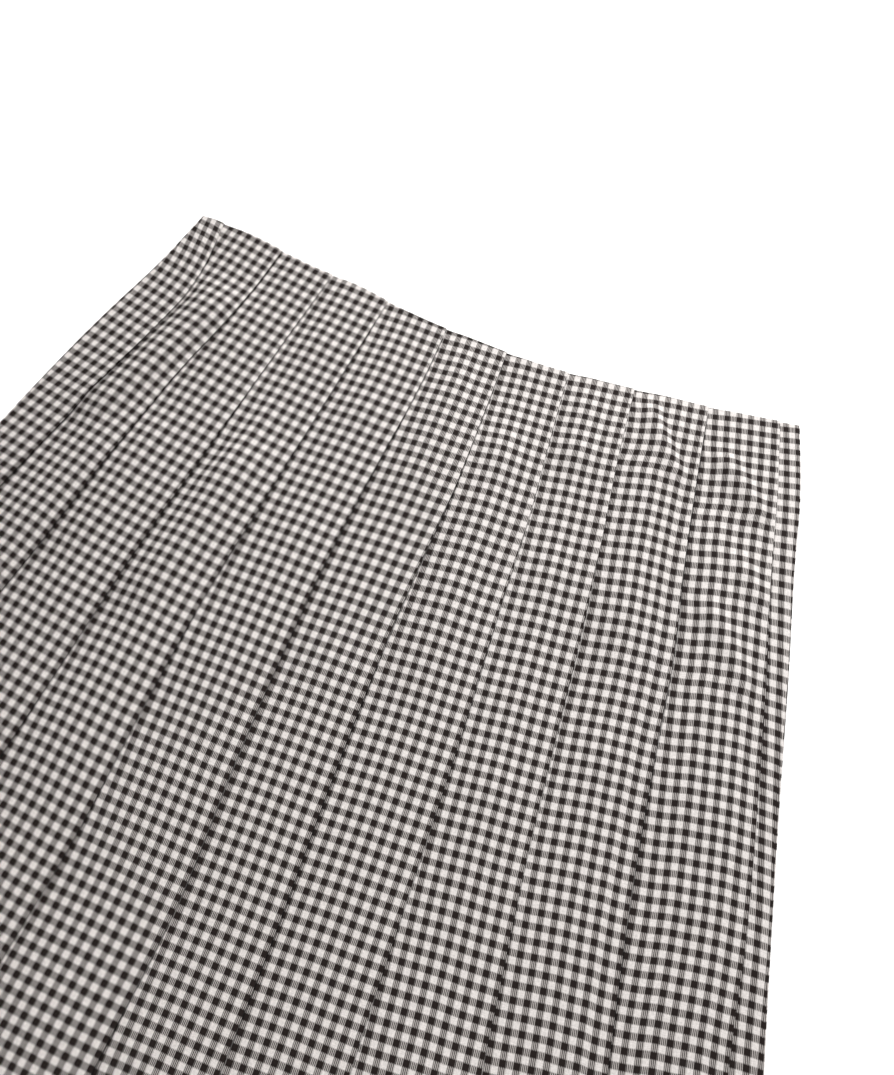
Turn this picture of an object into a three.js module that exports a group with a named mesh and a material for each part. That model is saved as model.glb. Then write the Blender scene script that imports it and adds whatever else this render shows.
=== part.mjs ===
// A knife-pleated gingham skirt lying flat, front up. Millimetres, +Z up, the waist towards +Y, the hem towards -Y.
//
// The skirt is a flat fan: every fold line runs straight to one point beyond the waist, so a pleat grows wider
// from waist to hem while its hidden underlay grows narrower by as much. Front and back are two pleated
// widths of cloth that meet at the side seams. Each is one closed wall, lofted through cross-sections.
// A section is drawn in two lengths: "across", the arc length from the skirt's centre line at that distance
// from the fan's point, and "rise", the height above the panel's inner side, which faces the other panel.

import * as THREE from 'three';

// ---- driving sizes ----
const CHECK = 6.35; // one repeat of the gingham, a dark and a pale stripe
const PLEAT_PITCH = 6 * CHECK; // from fold to fold at the waist
const FAN_RADIUS = 814; // from the fan's point to the waist edge
const SKIRT_LENGTH = 680; // waist edge to hem, along a fold
const PLEAT_COUNT = 10; // folds on the front, and as many on the back
const LEFT_STRIP = 0.34; // width of the strip outside the first fold, in pleats
const RIGHT_STRIP = 0.3; // width of the strip outside the last fold, in pleats

const CLOTH = 1.0; // wall of the cloth
const LAYER_GAP = 0.35; // between the layers of a pleat
const PIECE_GAP = 0.3; // between the two panels, and across a side seam
const UNDERLAY_AT_WAIST = 22; // depth of the cloth folded under each pleat
const STRIP_UNDERLAY = 4.5; // the first pleat has only this much room beside the side seam
const SIDE_TURN = 1.0; // radius of the cloth's centre line as it turns over the side edge
const RISE_START = 0.4; // where a pleat begins to climb, from the fold that it comes out under
const RISE_END = 1.2; // where it is up, short of its own underlay

// ---- what follows from them ----
const FAN_STEP = PLEAT_PITCH / FAN_RADIUS; // angle between two folds
const FAN_WIDTH = LEFT_STRIP + PLEAT_COUNT - 1 + RIGHT_STRIP; // in pleats
const UNDERLAY_TAPER = FAN_STEP / 2; // underlay lost to the pleat's face for each millimetre down
const STEP = CLOTH + LAYER_GAP; // from layer to layer
const INNER = CLOTH / 2; // rises of the centre lines of a pleat's three layers
const MIDDLE = INNER + STEP;
const OUTER = MIDDLE + STEP;
const PANEL_DEPTH = OUTER + CLOTH / 2;
const FOLD_RADIUS = STEP / 2; // of the cloth's centre line in a fold
const BACK_INNER_Z = PANEL_DEPTH; // the back lies on the floor with its outer side
const FRONT_INNER_Z = BACK_INNER_Z + PIECE_GAP;
const SEAM_Z = (CLOTH / 2 + FRONT_INNER_Z + INNER) / 2; // halfway up the side edge
const HALF_ANGLE = (FAN_WIDTH / 2) * FAN_STEP;
const HEM_RADIUS = FAN_RADIUS + SKIRT_LENGTH;
const CENTRE_Y = (HEM_RADIUS + FAN_RADIUS * Math.cos(HALF_ANGLE)) / 2; // the fan's point, with the box centred

// ---- how finely the walls are drawn ----
const FOLD_FACETS = 3; // in a half turn of cloth
const TURN_FACETS = 3; // in a quarter turn over the side edge
const RISE_FACETS = 4; // in a pleat's climb
const RUN_FACETS = 2; // where the three layers lie on each other, at the same places in each

// ---- the two panels ----
// end_rise: the layer that the strips beside the side seams lie on
// seam_rise: where the wall stops at the seam, half a piece gap short of SEAM_Z
const PANELS = [
  {
    name: 'skirt_front',
    end_rise: INNER,
    seam_rise: SEAM_Z + PIECE_GAP / 2 - FRONT_INNER_Z,
    inner_z: FRONT_INNER_Z,
    outwards: 1,
    // distances below the waist where a section is drawn, closer where the folds below are
    sections: [0, 30, 62, 98, 140, 190, 250, 330, 430, 550, SKIRT_LENGTH],
  },
  {
    name: 'skirt_back',
    end_rise: OUTER,
    seam_rise: BACK_INNER_Z - (SEAM_Z - PIECE_GAP / 2),
    inner_z: BACK_INNER_Z,
    outwards: -1,
    sections: [0, 160, 330, 500, SKIRT_LENGTH],
  },
];

// The front's largest soft folds, where the cloth stands off the back. Each is a rounded ridge from one place to
// another. pleat counts from the first fold, down is the distance below the waist.
const SOFT_FOLDS = [
  { from_pleat: 0.55, from_down: 20, to_pleat: 0.45, to_down: 330, half_width: 17, height: 2.4 },
  { from_pleat: 2.55, from_down: 90, to_pleat: 2.5, to_down: 330, half_width: 22, height: 2.2 },
  { from_pleat: 4.45, from_down: 10, to_pleat: 4.5, to_down: 120, half_width: 20, height: 2.4 },
  { from_pleat: 5.45, from_down: 30, to_pleat: 5.4, to_down: 210, half_width: 18, height: 3.0 },
  { from_pleat: 7.35, from_down: 8, to_pleat: 7.3, to_down: 150, half_width: 17, height: 3.6 },
  { from_pleat: 8.6, from_down: 60, to_pleat: 8.5, to_down: 260, half_width: 19, height: 2.8 },
  { from_pleat: 3.5, from_down: 330, to_pleat: 3.5, to_down: 680, half_width: 34, height: 2.6 },
  { from_pleat: 6.5, from_down: 300, to_pleat: 6.5, to_down: 680, half_width: 32, height: 2.8 },
  { from_pleat: 1.5, from_down: 380, to_pleat: 1.5, to_down: 680, half_width: 30, height: 2.4 },
];
const SIDE_CALM = 26; // within this of a side seam the soft folds fade away

const smooth = (t) => {
  const s = Math.min(Math.max(t, 0), 1);
  return s * s * (3 - 2 * s);
};
const smoothSlope = (t) => 6 * t * (1 - t);

// Angle of a place counted in pleats from the first fold, from the skirt's centre line.
const angleOf = (pleat) => (pleat + LEFT_STRIP - FAN_WIDTH / 2) * FAN_STEP;

const underlayAt = (pleat, down) =>
  pleat === 0 ? STRIP_UNDERLAY : UNDERLAY_AT_WAIST - UNDERLAY_TAPER * down;

// How far the front's soft folds lift it off the back at a place.
function softLift(angle, down) {
  const radius = FAN_RADIUS + down;
  let lift = 0;
  for (const fold of SOFT_FOLDS) {
    const t = (down - fold.from_down) / (fold.to_down - fold.from_down);
    const along = Math.min(Math.max(t, 0), 1);
    const ridge = angleOf(fold.from_pleat + (fold.to_pleat - fold.from_pleat) * along);
    const beside = ((angle - ridge) * radius) / fold.half_width;
    const beyond = (down - fold.from_down - along * (fold.to_down - fold.from_down)) / (2 * fold.half_width);
    const away = Math.min(Math.hypot(beside, beyond), 1);
    lift = Math.max(lift, fold.height * smooth(1 - away));
  }
  const fromSide = (HALF_ANGLE - Math.abs(angle)) * radius;
  return lift * smooth(fromSide / SIDE_CALM);
}

// One cross-section's centre line from the left side seam to the right one, seen from outside the panel.
// Each point carries the direction in which the cloth's outer side lies.
function centreLine(panel, down) {
  const radius = FAN_RADIUS + down;
  const line = [];
  const put = (across, rise, toAcross, toRise) => line.push({ across, rise, toAcross, toRise });
  const arc = (across, rise, size, from, to, facets, side) => {
    for (let i = 0; i <= facets; i += 1) {
      const turn = from + ((to - from) * i) / facets;
      const c = Math.cos(turn);
      const s = Math.sin(turn);
      put(across + size * c, rise + size * s, side * c, side * s);
    }
  };
  const climb = (from, to, low, high) => {
    for (let i = 0; i <= RISE_FACETS; i += 1) {
      const t = i / RISE_FACETS;
      const slope = (smoothSlope(t) * (high - low)) / (to - from);
      const size = Math.hypot(1, slope);
      put(from + (to - from) * t, low + (high - low) * smooth(t), -slope / size, 1 / size);
    }
  };

  // over the left side edge
  const left = -HALF_ANGLE * radius + CLOTH / 2;
  put(left, panel.seam_rise, -1, 0);
  arc(left + SIDE_TURN, panel.end_rise - SIDE_TURN, SIDE_TURN, Math.PI, Math.PI / 2, TURN_FACETS, 1);

  let from = left + 2 * SIDE_TURN;
  let low = panel.end_rise;
  for (let pleat = 0; pleat < PLEAT_COUNT; pleat += 1) {
    const fold = angleOf(pleat) * radius;
    const inside = fold - underlayAt(pleat, down);
    const turn = CLOTH / 2 + FOLD_RADIUS;
    const run = (i) => inside + turn + ((fold - inside - 2 * turn) * i) / RUN_FACETS;
    climb(from, inside - RISE_END, low, OUTER);
    for (let i = 0; i < RUN_FACETS; i += 1) put(run(i), OUTER, 0, 1);
    arc(run(RUN_FACETS), (MIDDLE + OUTER) / 2, FOLD_RADIUS, Math.PI / 2, -Math.PI / 2, FOLD_FACETS, 1);
    for (let i = RUN_FACETS - 1; i > 0; i -= 1) put(run(i), MIDDLE, 0, -1);
    arc(run(0), (INNER + MIDDLE) / 2, FOLD_RADIUS, Math.PI / 2, 1.5 * Math.PI, FOLD_FACETS, -1);
    for (let i = 1; i <= RUN_FACETS; i += 1) put(run(i), INNER, 0, 1);
    from = fold + RISE_START;
    low = INNER;
  }

  // over the right side edge
  const right = HALF_ANGLE * radius - CLOTH / 2;
  climb(from, right - 2 * SIDE_TURN, low, panel.end_rise);
  arc(right - SIDE_TURN, panel.end_rise - SIDE_TURN, SIDE_TURN, Math.PI / 2, 0, TURN_FACETS, 1);
  put(right, panel.seam_rise, 1, 0);
  return line;
}

// The closed outline of one section as points in space: along the outer side, then back along the inner one.
function sectionRing(panel, down) {
  const radius = FAN_RADIUS + down;
  const place = (point, side) => {
    const across = point.across + (side * CLOTH * point.toAcross) / 2;
    const rise = point.rise + (side * CLOTH * point.toRise) / 2;
    const angle = across / radius;
    const lift = panel.outwards > 0 ? softLift(angle, down) : 0;
    return new THREE.Vector3(
      panel.outwards * radius * Math.sin(angle),
      CENTRE_Y - radius * Math.cos(angle),
      panel.inner_z + panel.outwards * rise + lift,
    );
  };
  const line = centreLine(panel, down);
  return [...line.map((p) => place(p, 1)), ...line.map((p) => place(p, -1)).reverse()];
}

// A closed solid through rings of equally many points, with the wall's cut edges as its two ends. Each four-sided
// stretch is split from its near left corner to its far right one, so that layers which lie on each other bend alike.
function loft(rings) {
  const count = rings[0].length;
  const half = count / 2;
  const positions = rings.flat().flatMap((p) => p.toArray());
  const faces = [];
  for (let ring = 0; ring + 1 < rings.length; ring += 1) {
    for (let i = 0; i < count; i += 1) {
      const a = ring * count + i;
      const b = ring * count + ((i + 1) % count);
      if (rings[ring][i].x < rings[ring][(i + 1) % count].x) {
        faces.push(a, a + count, b, b, a + count, b + count);
      } else {
        faces.push(a, a + count, b + count, a, b + count, b);
      }
    }
  }
  const last = (rings.length - 1) * count;
  for (let i = 0; i + 1 < half; i += 1) {
    const a = i;
    const b = i + 1;
    const c = count - 2 - i;
    const d = count - 1 - i;
    faces.push(a, b, c, a, c, d);
    faces.push(last + a, last + c, last + b, last + a, last + d, last + c);
  }
  const geometry = new THREE.BufferGeometry();
  geometry.setAttribute('position', new THREE.Float32BufferAttribute(positions, 3));
  geometry.setIndex(faces);
  geometry.computeVertexNormals();
  return geometry;
}

const gingham = new THREE.MeshStandardMaterial({ color: 0x96918e, roughness: 0.92, metalness: 0 });

const skirt = new THREE.Group();
for (const panel of PANELS) {
  const mesh = new THREE.Mesh(loft(panel.sections.map((down) => sectionRing(panel, down))), gingham.clone());
  mesh.name = panel.name;
  skirt.add(mesh);
}

export default skirt;
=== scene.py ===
"""A knife-pleated gingham skirt lying flat on a pale table, front up.

Everything is worked out in millimetres on the skirt's own fan and put into Blender in metres. A place on
the skirt is given by two numbers: "pleat", counted across from the front's first fold, and "down", the
distance from the waist edge. The fold lines meet at one point beyond the waist, the fan's point.

A panel is a row of pleats. Face k is the part of the cloth that shows between fold k - 1 and fold k.
"""
import math

import bpy
import numpy as np
from mathutils import Matrix, Vector


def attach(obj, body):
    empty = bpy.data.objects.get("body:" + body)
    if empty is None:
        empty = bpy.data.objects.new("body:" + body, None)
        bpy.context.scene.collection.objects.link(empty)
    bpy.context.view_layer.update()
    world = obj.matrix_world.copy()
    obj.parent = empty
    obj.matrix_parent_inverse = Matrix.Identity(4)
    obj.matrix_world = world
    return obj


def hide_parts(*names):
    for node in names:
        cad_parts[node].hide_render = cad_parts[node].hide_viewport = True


MM = 0.001

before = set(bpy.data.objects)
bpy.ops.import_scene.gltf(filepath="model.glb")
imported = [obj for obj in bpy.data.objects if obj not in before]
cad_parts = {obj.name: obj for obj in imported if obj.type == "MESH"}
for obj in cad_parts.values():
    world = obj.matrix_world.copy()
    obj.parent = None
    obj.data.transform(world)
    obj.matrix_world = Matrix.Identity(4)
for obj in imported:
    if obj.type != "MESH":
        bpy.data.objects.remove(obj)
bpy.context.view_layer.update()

# ---- the skirt's own sizes, mm ----
CHECK = 6.35            # one repeat of the gingham
PLEAT_PITCH = 6 * CHECK
FAN_RADIUS = 814.0      # from the fan's point to the waist edge
SKIRT_LENGTH = 680.0
PLEATS = 10
LEFT_STRIP, RIGHT_STRIP = 0.34, 0.30    # of the cloth beside the side seams, in pleats
FAN_STEP = PLEAT_PITCH / FAN_RADIUS
FAN_WIDTH = LEFT_STRIP + PLEATS - 1 + RIGHT_STRIP
HALF_ANGLE = FAN_STEP * FAN_WIDTH / 2
HEM_RADIUS = FAN_RADIUS + SKIRT_LENGTH
CENTRE_Y = (HEM_RADIUS + FAN_RADIUS * math.cos(HALF_ANGLE)) / 2

CLOTH = 0.42            # thickness of the cotton
LAYER_WAIST, LAYER_FULL = 0.60, 0.80    # from layer to layer, pressed at the waist and loose below
LAYER_EASE = 60.0       # how far down the layers take to loosen
UNDERLAY_WAIST = 22.0   # how deep a pleat goes in under itself at the waist edge
STRIP_UNDERLAY = 4.5    # and the one beside the left strip, all the way down
SIDE_TURN = 1.2         # radius of the turn over a side edge
SIDE_FLAT = 1.6         # the flat cloth starts this many of those radii in from the edge
FACE_START = 0.3        # a face starts this far beyond the fold over it
CLIMB_END = 1.2         # and is up on the next pleat's layers this far before it reaches them
FRONT_FLOAT = 0.5       # air between the back and the front
SEAM_APART = 0.1        # each panel's side edge stops this far from the seam

# ---- how the folds and edges stray from their straight lines ----
STRAY_DOWN = (0, 40, 90, 140, 200, 260, 320, 400, 680)
# fold: how far it strays to its right, mm, at each of those distances down
FRONT_STRAY = {
    "left": (1.5, 1.5, -2, -3, -2.5, -2, -1, 0, 0),
    0: (3, 14, 14, 11, 8, 6, 4, 2, 0),
    1: (5, 6, 1.5, 0.5, 0, -1, -0.5, 0.5, 0),
    2: (1.5, 0.5, -0.5, -1, -1.5, 0, 1, 0, 0),
    3: (0.5, -0.5, -1.5, -2.5, -3.5, -1.5, 1.5, 1, 0),
    4: (0.5, 1.5, -0.5, -2, -1, 2, 7, 6, 1),
    5: (-0.5, 0.5, 1, -1, -2, -1, 1, 1.5, 0),
    6: (-2.5, -1, 1, 1, 1.5, 1, 0, -0.5, 0),
    7: (-3, -3.5, -2, -1, -1.5, -2, -0.5, 0.5, 0),
    8: (0, -0.5, -0.5, 1, -1, -2, -1, 0.5, 0),
    9: (1, 2, 1.5, 2.5, 2.5, 1.5, -2.5, -1.5, 0),
    "right": (0.5, 2.5, 1, 0.5, -1, -2, -2.5, -1.5, 0),
}
BACK_STRAY = 0.5        # the back's folds stray by this share of the front's
BACK_FIRST_STRAY = 0.3  # and the first of them by this share of that
EDGE_FADE = 70.0        # how far down the waist edge's own line is still felt
WAIST_EDGE = [
    # pleat, down
    (-0.3, 1.5), (0.7, -3.5), (1.6, -3.5), (2.5, -5), (3.5, -2), (4.6, -0.5), (5.5, 1), (6.4, 0.5),
    (7.4, 0.5), (8.5, 1.5), (9.3, 2.5),
]


def smooth(t):
    t = np.clip(t, 0.0, 1.0)
    return t * t * (3.0 - 2.0 * t)


def through(places, values, x):
    """A smooth curve through the values at their places, level beyond both ends."""
    places, values = np.asarray(places, float), np.asarray(values, float)
    slopes = np.gradient(values, places)
    x = np.clip(x, places[0], places[-1])
    i = np.clip(np.searchsorted(places, x, side="right") - 1, 0, len(places) - 2)
    gap = places[i + 1] - places[i]
    t = (x - places[i]) / gap
    start, end = values[i], values[i + 1]
    rise = end - start
    pull = t * (1 - t) * ((slopes[i] * gap - rise) * (1 - t) - (slopes[i + 1] * gap - rise) * t)
    return start + rise * t + pull


def angle_of(pleat):
    return (pleat + LEFT_STRIP - FAN_WIDTH / 2) * FAN_STEP


def layer_pitch(down):
    return LAYER_WAIST + (LAYER_FULL - LAYER_WAIST) * smooth(down / LAYER_EASE)


def underlay(pleat, down):
    if pleat == 0:
        return STRIP_UNDERLAY
    return UNDERLAY_WAIST - FAN_STEP / 2 * down


def turned_over(stray):
    """The back's strays: its side seams lie on the front's, seen from behind, and its folds stray less."""
    back = {"left": [-s for s in stray["right"]], "right": [-s for s in stray["left"]]}
    for fold in range(PLEATS):
        back[fold] = [-BACK_STRAY * s for s in stray[PLEATS - 1 - fold]]
    back[0] = [BACK_FIRST_STRAY * s for s in back[0]]
    return back


# ---- how many points one cross-section has ----
FACE_POINTS = 20        # on each face
FOLD_POINTS = 4         # round each fold
HIDDEN_POINTS = 4       # on each layer under a fold
SIDE_POINTS = 5         # over each side edge


def turn_round(across, rise, radius, start, end, count):
    """Points round a turn of the cloth, from one angle to another."""
    turn = np.linspace(start, end, count)
    return across + radius * np.cos(turn), rise + radius * np.sin(turn)


def cross_section(down, end_layer, seam_rise, stray):
    """The cloth's centre line at one distance down, from the left seam to the right one: across, rise, the
    face that each point belongs to and how far across that face it is. Face k ends at fold k, k + 0.25 is
    the return under it and k + 0.5 its inner fold."""
    radius = FAN_RADIUS + down
    step = float(layer_pitch(down))
    inner = CLOTH / 2
    outer = inner + 2 * step
    end_rise = outer if end_layer == "outer" else inner
    bend = step / 2
    sections = []

    def put(a, r, face, share=0.0):
        columns = np.broadcast_arrays(np.atleast_1d(a), r, face, share)
        sections.append(np.stack(columns).astype(float))

    left = -HALF_ANGLE * radius + CLOTH / 2 + stray["left"](down)
    a, r = turn_round(left + SIDE_TURN, end_rise - SIDE_TURN, SIDE_TURN, math.pi, math.pi / 2, SIDE_POINTS)
    put(np.r_[left, a], np.r_[seam_rise, r], 0)
    start, low = left + SIDE_FLAT * SIDE_TURN, end_rise
    for pleat in range(PLEATS):
        fold = angle_of(pleat) * radius + stray[pleat](down)
        depth = underlay(pleat, down)
        top_end = fold - CLOTH / 2 - bend
        a = np.linspace(start, top_end, FACE_POINTS, endpoint=False)
        climb = smooth((a - start) / (fold - depth - CLIMB_END - start))
        put(a, low + (outer - low) * climb, pleat, (a - start) / (top_end - start))
        a, r = turn_round(top_end, outer - bend, bend, math.pi / 2, -math.pi / 2, FOLD_POINTS)
        put(a, r, pleat, 1)
        turn_in = fold - depth + CLOTH / 2 + bend
        put(np.linspace(top_end, turn_in, HIDDEN_POINTS + 2)[1:-1], outer - step, pleat + 0.25)
        a, r = turn_round(turn_in, inner + bend, bend, math.pi / 2, 1.5 * math.pi, FOLD_POINTS)
        put(a, r, pleat + 0.5)
        put(np.linspace(turn_in, fold, HIDDEN_POINTS + 1)[1:], inner, pleat + 1)
        start, low = fold + FACE_START, inner
    right = HALF_ANGLE * radius - CLOTH / 2 + stray["right"](down)
    a = np.linspace(start, right - SIDE_FLAT * SIDE_TURN, FACE_POINTS // 2)
    climb = smooth((a - start) / (right - 2 * SIDE_TURN - start))
    put(a, low + (end_rise - low) * climb, PLEATS, (a - start) / (right - start))
    a, r = turn_round(right - SIDE_TURN, end_rise - SIDE_TURN, SIDE_TURN, math.pi / 2, 0, SIDE_POINTS)
    put(np.r_[a, right], np.r_[r, seam_rise], PLEATS, 1)
    return np.concatenate(sections, axis=1)


# ---- the front's soft swells and creases ----
# Each is a ridge, or a trough where high is below zero, from one place to another. It bows sideways at
# its middle, is left_wide to one side and right_wide to the other, and fades out over ends at both ends.
# Sizes are in mm.
CREASES = [
    # pleat, down, to_pleat, to_down, bow, left_wide, right_wide, high, ends
    # broad swells of whole pleats
    (0.95, 26, 0.36, 148, 3, 7.5, 16, 4.4, 24),
    (2.55, 90, 2.5, 330, 0, 20, 22, 1.6, 60),
    (4.45, 10, 4.5, 120, 0, 18, 20, 1.9, 40),
    (5.38, 20, 5.38, 210, 0, 14, 19, 2.6, 50),
    (7.33, -10, 7.3, 165, 0, 13, 22, 3.0, 45),
    (8.45, 50, 8.5, 260, 0, 16, 20, 2.0, 60),
    (3.5, 330, 3.5, 690, 0, 34, 34, 2.4, 90),
    (6.5, 300, 6.5, 690, 0, 32, 32, 2.6, 90),
    (1.5, 380, 1.5, 690, 0, 30, 30, 2.2, 90),
    # puckers beside the first fold, running down to the left
    (0.46, 34, 0.10, 140, 2, 5, 6, -0.8, 20),
    (1.30, 20, 1.32, 120, 0, 8, 12, 1.2, 25),
    (0.86, 120, 0.62, 225, 4, 10, 13, 2.0, 30),
    (1.02, 118, 1.00, 200, 0, 4, 4, -0.8, 20),
    (1.26, 108, 1.33, 215, 0, 6, 14, 2.8, 28),
    (2.38, 76, 2.15, 148, 3, 5, 5, 1.6, 18),
    (2.66, 98, 2.30, 222, -4, 7, 15, 3.2, 26),
    # small swells across the pleats below the waist
    (2.10, 42, 2.80, 34, 3, 9, 12, 1.3, 15),
    (3.08, 62, 3.85, 58, -3, 9, 11, 1.4, 15),
    (3.55, 8, 3.40, 60, 0, 8, 11, 0.9, 16),
    (4.42, 4, 4.55, 42, 1, 5, 8, 1.0, 12),
    (5.20, 70, 5.75, 52, 3, 9, 12, 1.0, 14),
    (6.10, 55, 6.80, 44, 3, 8, 10, 1.2, 14),
    (6.35, 4, 6.42, 60, 0, 8, 11, 1.2, 18),
    # the sharp crease that drops to the ninth fold, and the slack beside it
    (7.14, 4, 7.84, 50, -1, 3.2, 6, 2.3, 10),
    (7.31, 4, 7.92, 44, -1, 3, 4.5, -0.9, 10),
    (7.80, 44, 7.80, 140, 0, 6, 3.5, -0.9, 30),
    (8.14, 24, 8.92, 66, 3, 4.5, 6, 2.6, 12),
    (8.10, 46, 8.70, 82, 3, 5, 6, -1.1, 12),
    (8.25, 108, 8.90, 158, 2, 4.5, 6, 2.1, 12),
    (8.50, 82, 9.02, 112, 2, 4.5, 5.5, 1.8, 10),
    # shallow waves farther down
    (1.10, 230, 1.90, 222, 4, 14, 16, 0.8, 20),
    (3.15, 150, 3.90, 138, 4, 12, 15, 0.9, 20),
    (4.10, 205, 4.85, 196, 4, 12, 14, 0.9, 20),
    (5.15, 150, 5.85, 138, 4, 12, 15, 0.9, 20),
    (6.12, 120, 6.85, 112, 3, 10, 13, 1.0, 18),
    (6.15, 232, 6.85, 226, 3, 12, 14, 0.8, 18),
    (7.12, 205, 7.85, 200, 3, 12, 14, 0.9, 18),
    (8.15, 262, 8.9, 252, 3, 10, 13, 0.8, 18),
    (9.10, 170, 9.24, 196, 0, 4, 5, 0.6, 8),
    (9.12, 238, 9.25, 262, 0, 4, 5, 0.6, 8),
]
CREASE_SKIRT = 1.6      # a crease's foot reaches this many of its widths to each side
SIDE_CALM = 9.0         # within this of a side seam they fade away
DEEPEST = -0.35         # the front can sink this far before it meets the back
BACK_SWELL = 0.35       # the back rises off the table under each swell by this share of it


def place(pleat, down):
    """A place on the flat fan, in mm from its point, with y towards the waist."""
    angle = angle_of(pleat)
    return np.array([math.sin(angle), -math.cos(angle)]) * (FAN_RADIUS + down)


def relief(x, y, from_side):
    """How far the cloth swells up at each place, over its pleats."""
    lift = np.zeros(np.shape(x))
    for pleat, down, to_pleat, to_down, bow, left_wide, right_wide, high, ends in CREASES:
        start, end = place(pleat, down), place(to_pleat, to_down)
        length = float(np.hypot(*(end - start)))
        way = (end - start) / length
        along = (x - start[0]) * way[0] + (y - start[1]) * way[1]
        share = np.clip(along / length, 0, 1)
        beside = (x - start[0]) * -way[1] + (y - start[1]) * way[0] - bow * 4 * share * (1 - share)
        wide = np.where(beside < 0, right_wide, left_wide)
        profile = np.clip(1 - (beside / (CREASE_SKIRT * wide)) ** 2, 0, 1) ** 2
        lift += high * profile * smooth(along / ends) * smooth((length - along) / ends)
    return np.maximum(lift, DEEPEST) * smooth(from_side / SIDE_CALM)


# ---- how the cloth's grain lies on the pleats, mm ----
# The check's rows slip toward the hem and its columns to the left, more and more from the waist edge down.
ROWS_SLIP = 6.0
SIDE_SLIP = 5.0         # the rows slip this much farther beside the side seams
COLUMNS_SLIP = 4.0
SLIP_RUN = 200.0        # the whole slip is reached this far below the waist edge


def grain(face, down, share):
    """(across, along) by which the pattern is drawn at places on one face, mm."""
    slipped = smooth(down / SLIP_RUN)
    from_middle = np.abs(2 * (face + np.clip(share, 0, 1)) / PLEATS - 1)
    return COLUMNS_SLIP * slipped, -(ROWS_SLIP + SIDE_SLIP * from_middle ** 2) * slipped


# ---- the shade painted into the cloth's colour beside a pleat's edge ----
OPEN = 20.0             # farther than this from a pleat's edge nothing is shaded by it
PAINTED_SHADE_REACH = {8: 0.45, 5: 0.2, 4: 0.2}      # folds beside which the painted shade reaches farther, and by how much, mm
PRESSED_EDGE = 8.0      # the painted shade fades in over this far below the waist edge, on faces 0 and 1 over the next such stretch
COVERED = 0.03          # the share of a face that the fold over it covers

# ---- cloth panels ----
ROW_GAPS = [
    # from, to, gap: how far down the rows of points are, closer where the creases are
    (0, 320, 3.8),
    (320, 460, 7.0),
    (460, SKIRT_LENGTH, 11.0),
]


def row_distances():
    return np.r_[np.concatenate([np.arange(*gaps) for gaps in ROW_GAPS]), SKIRT_LENGTH]


def panel_points(rows, end_layer, inner_z, outwards, seam_rise, strays):
    """One panel's points, in rows from the waist to the hem and across from side to side, in mm. With them
    go the cloth's own coordinates in mm, how strongly shade is painted at each place beside the pleat over
    it, and what shows."""
    stray = {fold: (lambda down, line=line: float(through(STRAY_DOWN, line, down)))
             for fold, line in strays.items()}
    sections = np.array([cross_section(down, end_layer, seam_rise, stray) for down in rows])
    across, rise, face, share = sections.transpose(1, 0, 2)
    face = face[0]
    down = np.broadcast_to(rows[:, None], across.shape)
    angle = across / (FAN_RADIUS + down)
    edges, drops = zip(*WAIST_EDGE)
    drop = through([angle_of(p) for p in edges], drops, outwards * angle)
    radius = FAN_RADIUS + down + drop * (1 - smooth(down / EDGE_FADE))
    flat_x, flat_y = radius * np.sin(angle), -radius * np.cos(angle)
    from_side = np.minimum(across - across[:, :1], across[:, -1:] - across)
    lift = relief(outwards * flat_x, flat_y, from_side)
    if outwards < 0:
        lift = BACK_SWELL * np.maximum(lift, 0)
    z = inner_z + outwards * rise + lift
    points = np.stack([outwards * flat_x, CENTRE_Y + flat_y, z], axis=2)

    # the cloth keeps its own length, so a crease takes up more of the check than its shadow on the table
    run = np.cumsum(np.hypot(np.diff(across, axis=1, prepend=across[:, :1]),
                             np.diff(rise + lift, axis=1, prepend=(rise + lift)[:, :1])), axis=1)
    step_down = np.diff(down, axis=0, prepend=down[:1])
    step_up = np.diff(lift, axis=0, prepend=lift[:1])
    slack = np.cumsum(np.hypot(step_down, step_up) - step_down, axis=0)
    u, v = np.zeros(across.shape), np.zeros(across.shape)
    for fold in range(PLEATS + 1):
        mine = np.flatnonzero(face == fold)
        if fold < PLEATS:
            # the second point round the fold is its edge
            edge = run[:, mine[-3:-2]]
        else:
            # the last strip is counted on from the point under the last fold
            under_fold = mine[HIDDEN_POINTS - 1:HIDDEN_POINTS]
            edge = run[:, under_fold] + PLEAT_PITCH + FAN_STEP * rows[:, None]
        shift_across, shift_along = grain(fold, down[:, mine], share[:, mine])
        u[:, mine] = run[:, mine] - edge + shift_across
        v[:, mine] = radius[:, mine] * np.cos(angle[:, mine] - angle_of(fold)) - FAN_RADIUS
        v[:, mine] += slack[:, mine] + shift_along
    # under a fold the check runs on evenly from one face to the next
    for fold in range(PLEATS):
        i = np.flatnonzero((face > fold) & (face < fold + 1))
        t = np.linspace(0, 1, len(i) + 2)[1:-1]
        for way in (u, v):
            way[:, i] = way[:, i[0] - 1, None] * (1 - t) + way[:, i[-1] + 1, None] * t
    shows = (face == np.floor(face)) & (share[0] > COVERED)

    # how far each place lies beyond the edge of the pleat over it, for the shade painted beside each fold
    beyond = np.full(across.shape, OPEN)
    for fold in range(PLEATS):
        top = np.flatnonzero(face == fold)
        edge = across[:, top[-FOLD_POINTS:]].max(axis=1, keepdims=True)
        beyond[:, top[-FOLD_POINTS // 2:]] = 0
        beyond[:, (face > fold) & (face < fold + 1)] = 0
        under = np.flatnonzero(face == fold + 1)[:FACE_POINTS // 2]
        beyond[:, under] = np.clip(across[:, under] - edge - PAINTED_SHADE_REACH.get(fold, 0), 0, OPEN)
    # the painted shade fades in below the waist edge
    first_two = face < 1.5
    painted_shade_strength = smooth((down - PRESSED_EDGE * first_two) / PRESSED_EDGE)
    return points, np.stack([u, v], axis=2), np.stack([beyond, painted_shade_strength], axis=2), shows


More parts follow.
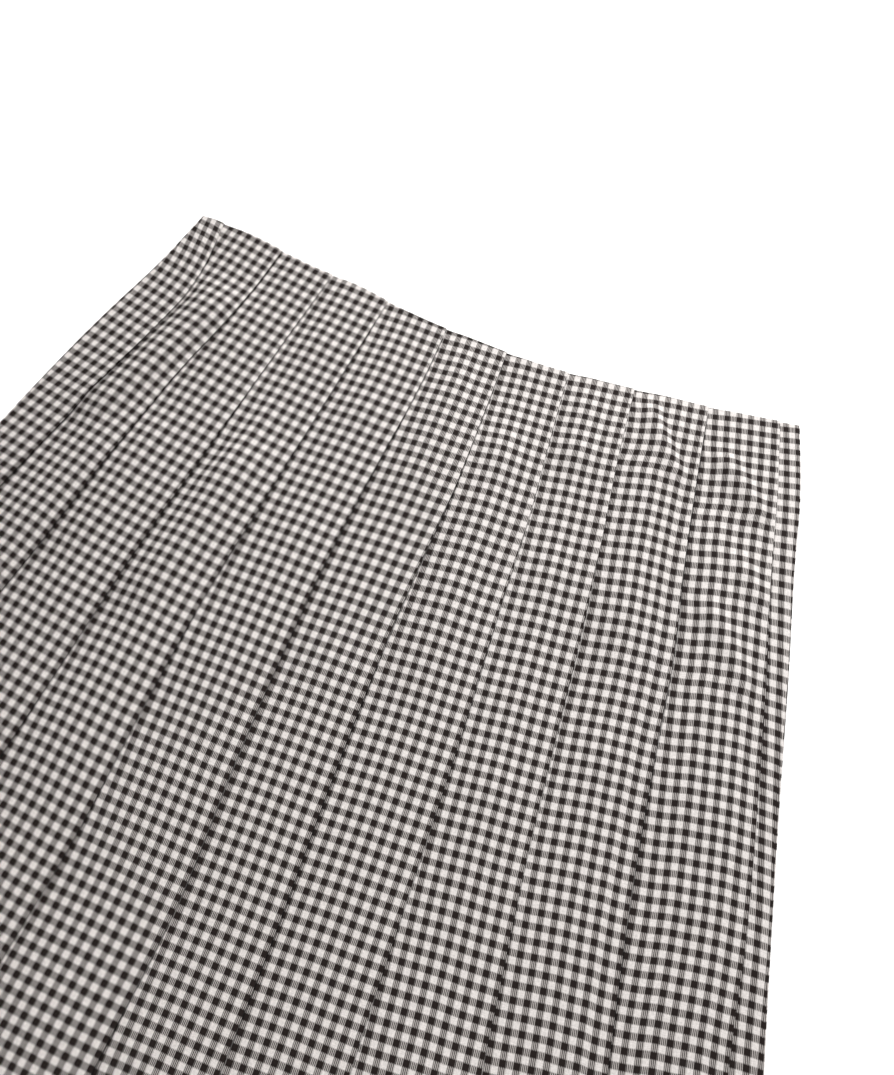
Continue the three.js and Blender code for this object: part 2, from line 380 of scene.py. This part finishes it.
def cloth_panel(name, points, cloth, tuck):
    """A sheet laid through rows of points, from a grid whose vertices are moved to their places."""
    rows, stations = points.shape[:2]
    bpy.ops.object.select_all(action="DESELECT")
    bpy.ops.mesh.primitive_grid_add(
        x_subdivisions=stations - 1, y_subdivisions=rows - 1, size=1, calc_uvs=True)
    sheet = bpy.context.object
    sheet.name = sheet.data.name = name
    mesh = sheet.data
    co = np.empty(len(mesh.vertices) * 3)
    mesh.vertices.foreach_get("co", co)
    co = co.reshape(-1, 3)
    col = np.rint((co[:, 0] + 0.5) * (stations - 1)).astype(int)
    row = np.rint((0.5 - co[:, 1]) * (rows - 1)).astype(int)
    mesh.vertices.foreach_set("co", (points[row, col] * MM).ravel())
    corner = np.empty(len(mesh.loops), dtype=np.int32)
    mesh.loops.foreach_get("vertex_index", corner)
    mesh.uv_layers[0].name = "cloth"
    # a second map carries where shade is painted beside each fold and how strongly
    mesh.uv_layers.new(name="tuck")
    for layer, values in (("cloth", cloth), ("tuck", tuck)):
        at_corners = values[row, col][corner].astype(np.float32)
        mesh.uv_layers[layer].data.foreach_set("uv", at_corners.ravel())
    mesh.update()
    bpy.ops.object.modifier_add(type="SOLIDIFY")
    sheet.modifiers[-1].thickness = CLOTH * MM
    sheet.modifiers[-1].offset = 0
    bpy.ops.object.modifier_apply(modifier=sheet.modifiers[-1].name)
    bpy.ops.object.shade_smooth_by_angle(angle=math.radians(50))
    return sheet


# ---- materials ----
class Nodes:
    """Short calls for a material's nodes."""

    def __init__(self, name):
        self.material = bpy.data.materials.new(name)
        self.material.use_nodes = True
        self.tree = self.material.node_tree
        self.shader = self.tree.nodes["Principled BSDF"]

    def add(self, kind, inputs=(), **settings):
        node = self.tree.nodes.new(kind)
        for key, value in settings.items():
            setattr(node, key, value)
        for socket, value in dict(inputs).items():
            self.feed(node.inputs[socket], value)
        return node.outputs[0]

    def feed(self, socket, value):
        if isinstance(value, bpy.types.NodeSocket):
            self.tree.links.new(value, socket)
        else:
            socket.default_value = value

    def math(self, operation, a, b=0.0, c=0.0):
        return self.add("ShaderNodeMath", {0: a, 1: b, 2: c}, operation=operation)

    def fade(self, value, start, end, top):
        """Smoothly from top down to nothing as the value goes from start to end."""
        return self.add("ShaderNodeMapRange", {0: value, 1: start, 2: end, 3: top, 4: 0.0},
                        interpolation_type="SMOOTHSTEP")

    def mix(self, factor, a, b):
        node = self.tree.nodes.new("ShaderNodeMix")
        node.data_type = "RGBA"
        self.feed(node.inputs["Factor"], factor)
        self.feed(node.inputs["A"], a)
        self.feed(node.inputs["B"], b)
        return node.outputs["Result"]

    def parts(self, vector):
        node = self.tree.nodes.new("ShaderNodeSeparateXYZ")
        self.feed(node.inputs[0], vector)
        return node.outputs

    def scaled(self, colour, factor):
        node = self.tree.nodes.new("ShaderNodeVectorMath")
        node.operation = "SCALE"
        self.feed(node.inputs[0], colour)
        self.feed(node.inputs["Scale"], factor)
        return node.outputs[0]


YARNS_PER_SQUARE = 8
FUZZ = 0.45             # half the width of a square's soft edge, mm
FOLD_IN_CHECK = 0.28    # how far into its pale column a fold's edge lies, in checks
ROW_START = 0.4         # where the waist edge cuts the rows, in checks
CHECKS_BEFORE = 200     # whole checks added to every place, so that yarns are counted up from below
SLUB_ALONG, SLUB_ACROSS = 0.5, 2.2      # an uneven length of yarn, as a rate per mm, along and across it
GAP_WIDE, GAP_LIGHT = 1.1, 0.20         # the shade painted beside a pleat's edge: its width, mm, and the share of the colour left in it
DARK = (0.0150, 0.0092, 0.0081, 1)
PALE = (0.83, 0.790, 0.770, 1)
HALF_DARK = (0.040, 0.033, 0.031, 1)
HALF_PALE = (0.530, 0.495, 0.478, 1)


def gingham():
    """Black and white yarns in plain weave, a square of each in turn both ways."""
    n = Nodes("gingham_cotton")
    uv = n.add("ShaderNodeUVMap", uv_map="cloth")
    spot = n.parts(uv)
    yarn = CHECK / 2 / YARNS_PER_SQUARE
    to_right = (CHECKS_BEFORE + 1 - FOLD_IN_CHECK) * CHECK / yarn
    to_hem = (CHECKS_BEFORE + ROW_START) * CHECK / yarn
    across = n.math("MULTIPLY_ADD", spot[0], 1 / yarn, to_right)
    down = n.math("MULTIPLY_ADD", spot[1], 1 / yarn, to_hem)
    dark, crown = [], []
    for way in (across, down):
        # a square's edge is fuzzy over about two yarns
        in_check = n.math("FRACT", n.math("DIVIDE", way, 2.0 * YARNS_PER_SQUARE))
        from_middle = n.math("ABSOLUTE", n.math("SUBTRACT", in_check, 0.25))
        from_middle = n.math("MINIMUM", from_middle, n.math("SUBTRACT", 1.0, from_middle))
        inner, outer = 0.25 - FUZZ / CHECK, 0.25 + FUZZ / CHECK
        dark.append(n.fade(from_middle, inner, outer, 1.0))
        middle = n.math("SUBTRACT", n.math("FRACT", way), 0.5)
        crown.append(n.math("MULTIPLY_ADD", n.math("MULTIPLY", middle, middle), -4.0, 1.0))
    # one yarn or the other is on top, turn about, and the ones that run down show as fine ribs
    over = n.math("MODULO", n.math("ADD", n.math("FLOOR", across), n.math("FLOOR", down)), 2)
    half = n.mix(n.math("MODULO", n.math("FLOOR", across), 2), HALF_DARK, HALF_PALE)
    colour = n.mix(dark[0], n.mix(dark[1], PALE, half), n.mix(dark[1], half, DARK))
    # uneven yarns, a little thicker and paler in short lengths
    slubs = []
    for rates in ((SLUB_ALONG, SLUB_ACROSS, 1), (SLUB_ACROSS, SLUB_ALONG, 1)):
        stretched = n.add("ShaderNodeMapping", {0: uv, 3: rates})
        slubs.append(n.add("ShaderNodeTexNoise", {"Vector": stretched, "Scale": 1.0}))
    uneven = n.math("MULTIPLY_ADD", n.math("ADD", *slubs), 0.5, 0.5)
    # painted shade: the cloth's colour is darkened beside each pleat's edge, where it goes in under the
    # pleat
    beyond, painted_shade_strength, _ = n.parts(n.add("ShaderNodeUVMap", uv_map="tuck"))
    painted_gap_shade = n.fade(beyond, 0.0, GAP_WIDE, 1 - GAP_LIGHT)
    colour_left_by_shade = n.math("SUBTRACT", 1.0, n.math("MULTIPLY", painted_gap_shade, painted_shade_strength))
    n.feed(n.shader.inputs["Base Color"], n.scaled(colour, n.math("MULTIPLY", uneven, colour_left_by_shade)))
    n.shader.inputs["Roughness"].default_value = 0.8
    n.shader.inputs["Specular IOR Level"].default_value = 0.22
    weave = n.add("ShaderNodeMix", {"Factor": over, "A": crown[0], "B": crown[1]})
    bump = n.add("ShaderNodeBump", {"Height": weave, "Strength": 0.5, "Distance": 0.00012})
    n.feed(n.shader.inputs["Normal"], bump)
    return n.material


def cotton_thread():
    n = Nodes("pale_thread")
    twist = n.add("ShaderNodeTexWave", {"Scale": 900.0, "Distortion": 1.0})
    n.feed(n.shader.inputs["Base Color"], n.mix(twist, (0.62, 0.59, 0.57, 1), (0.80, 0.77, 0.75, 1)))
    n.shader.inputs["Roughness"].default_value = 0.7
    return n.material


# ---- the hem's stitches ----
HEM_TURN = 26.0         # depth of the turned-up hem
STITCH_GAP = 7.0        # from one stitch to the next
STITCH_LONG, STITCH_WIDE = 2.0, 0.45
STITCH_ROUND = 0.13     # how much its edges are rounded
STITCH_STANDS = 0.08    # how far its middle is above the cloth
SEAM_CLEAR = 5.0        # no stitch is nearer to a side seam


def one_stitch():
    bpy.ops.object.select_all(action="DESELECT")
    bpy.ops.mesh.primitive_cube_add(size=1)
    stitch = bpy.context.object
    size = (STITCH_LONG * MM, STITCH_WIDE * MM, STITCH_WIDE * MM, 1)
    stitch.data.transform(Matrix.Diagonal(size))
    bpy.ops.object.modifier_add(type="BEVEL")
    stitch.modifiers[-1].width = STITCH_ROUND * MM
    bpy.ops.object.modifier_apply(modifier=stitch.modifiers[-1].name)
    return stitch


def hem_stitches(name, line, shows):
    """A row of small stitches along a line of the cloth's points, wherever that line shows."""
    first = one_stitch()
    up = Vector((0, 0, 1))
    copies = []
    run = np.r_[0, np.cumsum(np.linalg.norm(np.diff(line, axis=0), axis=1))]
    for distance in np.arange(SEAM_CLEAR, run[-1] - SEAM_CLEAR, STITCH_GAP):
        i = int(np.searchsorted(run, distance)) - 1
        if not (shows[i] and shows[i + 1]):
            continue
        way = Vector(line[i + 1] - line[i]).normalized()
        centre = Vector(line[i]).lerp(Vector(line[i + 1]), (distance - run[i]) / (run[i + 1] - run[i]))
        side = up.cross(way).normalized()
        turn = Matrix((way, side, way.cross(side))).transposed().to_4x4()
        on_cloth = centre + up * (CLOTH / 2 + STITCH_STANDS)
        copy = bpy.data.objects.new(name, first.data.copy())
        copy.data.transform(Matrix.Translation(on_cloth * MM) @ turn)
        bpy.context.scene.collection.objects.link(copy)
        copies.append(copy)
    bpy.data.objects.remove(first)
    for copy in copies:
        copy.select_set(True)
    bpy.context.view_layer.objects.active = copies[0]
    bpy.ops.object.join()
    return bpy.context.object


# ---- the build ----
PANEL_DEPTH = CLOTH + 2 * LAYER_FULL
FRONT_Z = PANEL_DEPTH + FRONT_FLOAT
SEAM_Z = (CLOTH + PANEL_DEPTH + FRONT_Z) / 2
front_rows = row_distances()
back_rows = np.unique(np.r_[front_rows[::2], SKIRT_LENGTH])

cotton = gingham()
thread = cotton_thread()
# each panel comes with where shade is painted beside its folds
front_points, front_cloth, front_painted_shade, front_shows = panel_points(
    front_rows, "inner", FRONT_Z, 1, SEAM_Z + SEAM_APART - FRONT_Z, FRONT_STRAY)
back_points, back_cloth, back_painted_shade, _ = panel_points(
    back_rows, "outer", PANEL_DEPTH, -1, PANEL_DEPTH - SEAM_Z + SEAM_APART, turned_over(FRONT_STRAY))
front = cloth_panel("front_panel", front_points, front_cloth, front_painted_shade)
back = cloth_panel("back_panel", back_points, back_cloth, back_painted_shade)
for piece, node in ((front, "skirt_front"), (back, "skirt_back")):
    piece.data.materials.clear()
    piece.data.materials.append(cotton)
    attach(piece, "root")
    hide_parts(node)

hem_row = int(np.argmin(np.abs(front_rows - (SKIRT_LENGTH - HEM_TURN))))
hem_sewing = hem_stitches("front_hem_stitches", front_points[hem_row], front_shows)
hem_sewing.data.materials.clear()
hem_sewing.data.materials.append(thread)
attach(hem_sewing, "root")

# ---- the table, the light and the camera ----
bpy.ops.object.select_all(action="DESELECT")
bpy.ops.mesh.primitive_plane_add(size=8)
table = bpy.context.object
table.name = "table"
surface = Nodes("pale_table")
surface.shader.inputs["Base Color"].default_value = (0.95, 0.95, 0.95, 1)
surface.shader.inputs["Roughness"].default_value = 0.9
surface.shader.inputs["Emission Color"].default_value = (1, 1, 1, 1)
surface.shader.inputs["Emission Strength"].default_value = 0.35
table.data.materials.append(surface.material)

world = bpy.data.worlds.new("studio")
bpy.context.scene.world = world
world.use_nodes = True
world.node_tree.nodes["Background"].inputs[0].default_value = (1, 0.965, 0.945, 1)
world.node_tree.nodes["Background"].inputs[1].default_value = 0.39

# one soft lamp stands past the waist, so that each fold and swell throws a thin shade towards the hem
LAMP_PLACE, LAMP_AIM = (0.18, 1.25, 1.10), (0.12, 0.22, 0.0)
bpy.ops.object.light_add(type="AREA", location=LAMP_PLACE)
lamp = bpy.context.object
lamp.name = "waist_lamp"
lamp.data.size = 0.5
lamp.data.energy = 3.9
lamp.data.spread = math.radians(70)
lamp.data.color = (1.0, 0.998, 0.99)
lamp.rotation_euler = (Vector(LAMP_AIM) - Vector(LAMP_PLACE)).to_track_quat("-Z", "Y").to_euler()

# The camera is nearly over the cloth, leaning towards the waist, and turned so that the waist slants.
CAMERA_FOOT = (0.0870, 0.0805)      # the point straight under it
CAMERA_HEIGHT = 0.4498
VIEW_WAY = (-0.1226, 0.2886, -0.9496)
VIEW_UP = (-0.3571, 0.8799, 0.3135)
FOCAL_PIXELS, FRAME_HEIGHT = 900, 1075

lens = bpy.data.cameras.new("camera")
camera = bpy.data.objects.new("camera", lens)
bpy.context.scene.collection.objects.link(camera)
bpy.context.scene.camera = camera
lens.sensor_width = 36
lens.lens = FOCAL_PIXELS / FRAME_HEIGHT * lens.sensor_width
way, up = Vector(VIEW_WAY).normalized(), Vector(VIEW_UP)
right = way.cross(up).normalized()
up = right.cross(way)
camera.matrix_world = Matrix.Translation((*CAMERA_FOOT, CAMERA_HEIGHT)) @ Matrix(
    (right, up, -way)).transposed().to_4x4()
bpy.context.scene.view_settings.view_transform = "Standard"
